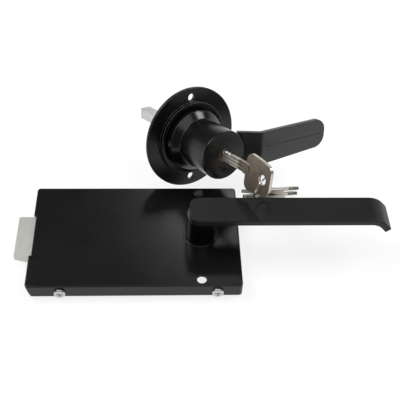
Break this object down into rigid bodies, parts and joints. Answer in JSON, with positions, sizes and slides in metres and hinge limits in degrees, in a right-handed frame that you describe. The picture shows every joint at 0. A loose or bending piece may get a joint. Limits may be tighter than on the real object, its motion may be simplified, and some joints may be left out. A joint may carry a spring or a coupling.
{
  "type": "fire door lock",
  "caption": "Surface door lock: a sheet steel case with a slide latch and inside lever, and the matching outside lever unit on a round rose with a key in its cylinder.",
  "frame": {"origin": "on the follower's axis, at the back face of the case, where the spindle enters", "axes": "+X along the inside lever and away from the latch, +Z out of the back face towards the lever, +Y away from the viewer"},
  "size_m": [0.258, 0.1734, 0.073],
  "materials": {
    "black_coat": "satin black powder coat with fine orange peel",
    "lever_coat": "smoother satin black coat",
    "latch_steel": "pale ground steel",
    "zinc_steel": "bright zinc plated steel",
    "sheet_zinc": "zinc plated sheet",
    "spring_steel": "drawn spring wire",
    "brass": "turned brass",
    "nickel": "worn nickel plate",
    "nylon": "natural nylon"
  },
  "bodies": {
    "lock_case": {"case_cover": "black_coat", "chassis_plate": "black_coat", "cover_screws": "zinc_steel", "front_bush": "black_coat", "back_bush": "sheet_zinc", "spring_bracket": "sheet_zinc", "bracket_rivets": "zinc_steel", "latch_springs": "spring_steel"},
    "inner_handle": {"inner_lever": "lever_coat", "lever_hub": "lever_coat", "follower": "sheet_zinc", "follower_grub_screw": "zinc_steel"},
    "latch": {"latch_bolt": "latch_steel", "latch_slide": "sheet_zinc", "latch_rivets": "zinc_steel", "spring_rods": "spring_steel"},
    "rose": {"rose_plate": "lever_coat", "rose_washer": "nylon", "back_washer": "zinc_steel"},
    "outer_handle": {"outer_barrel": "lever_coat", "outer_lever": "lever_coat", "barrel_grub_screw": "zinc_steel", "lock_cylinder": "brass", "spindle_carrier": "zinc_steel", "spindle": "zinc_steel", "spindle_pin": "spring_steel", "retaining_ring": "spring_steel"},
    "locking": {"lock_slide": "brass"},
    "plug": {"cylinder_plug": "brass", "plug_cam": "brass"},
    "key_in_lock": {"key": "nickel"},
    "ring": {"key_ring": "zinc_steel"},
    "loose_keys": {"spare_key_lower": "nickel", "spare_key_upper": "nickel"}
  },
  "joints": [
    {"name": "inner_turn", "type": "hinge", "parent": "lock_case", "child": "inner_handle", "pos_m": [0, 0, 0], "axis": [0, 0, 1], "range_deg": [-40, 0], "stiffness_Nm_per_rad": 0.4, "springref_deg": 20.05},
    {"name": "latch_draw", "type": "slide", "parent": "lock_case", "child": "latch", "axis": [1, 0, 0], "range_m": [0, 0.01], "deforming": ["latch_springs"]},
    {"name": "unit_lift", "type": "slide", "parent": "lock_case", "child": "rose", "axis": [0, 0, 1], "range_m": [0, 0.12]},
    {"name": "outer_turn", "type": "hinge", "parent": "rose", "child": "outer_handle", "pos_m": [-0.005, 0.0728, 0.03698], "axis": [0.5413, -0.7846, 0.3024], "range_deg": [0, 45]},
    {"name": "plug_turn", "type": "hinge", "parent": "outer_handle", "child": "plug", "pos_m": [-0.005, 0.0728, 0.03698], "axis": [0.5413, -0.7846, 0.3024], "range_deg": [0, 90]},
    {"name": "lock_shift", "type": "slide", "parent": "outer_handle", "child": "locking", "axis": [0.0085, -0.3544, -0.935], "range_m": [0, 0.0036]},
    {"name": "key_draw", "type": "slide", "parent": "plug", "child": "key_in_lock", "axis": [0.5413, -0.7846, 0.3024], "range_m": [-0.02, 0.03]},
    {"name": "ring_swing", "type": "hinge", "parent": "key_in_lock", "child": "ring", "pos_m": [0.04024, 0.00562, 0.05987], "axis": [-0.6342, -0.7081, -0.3105], "range_deg": [0, 25]},
    {"name": "loose_keys_shift", "type": "slide", "parent": "lock_case", "child": "loose_keys", "axis": [1, 0, 0], "range_m": [0, 0.12]}
  ],
  "couplings": [
    {"joint": "latch_draw", "follows": "inner_turn", "m_per_rad": -0.0142},
    {"joint": "lock_shift", "follows": "plug_turn", "m_per_rad": 0.00225}
  ]
}
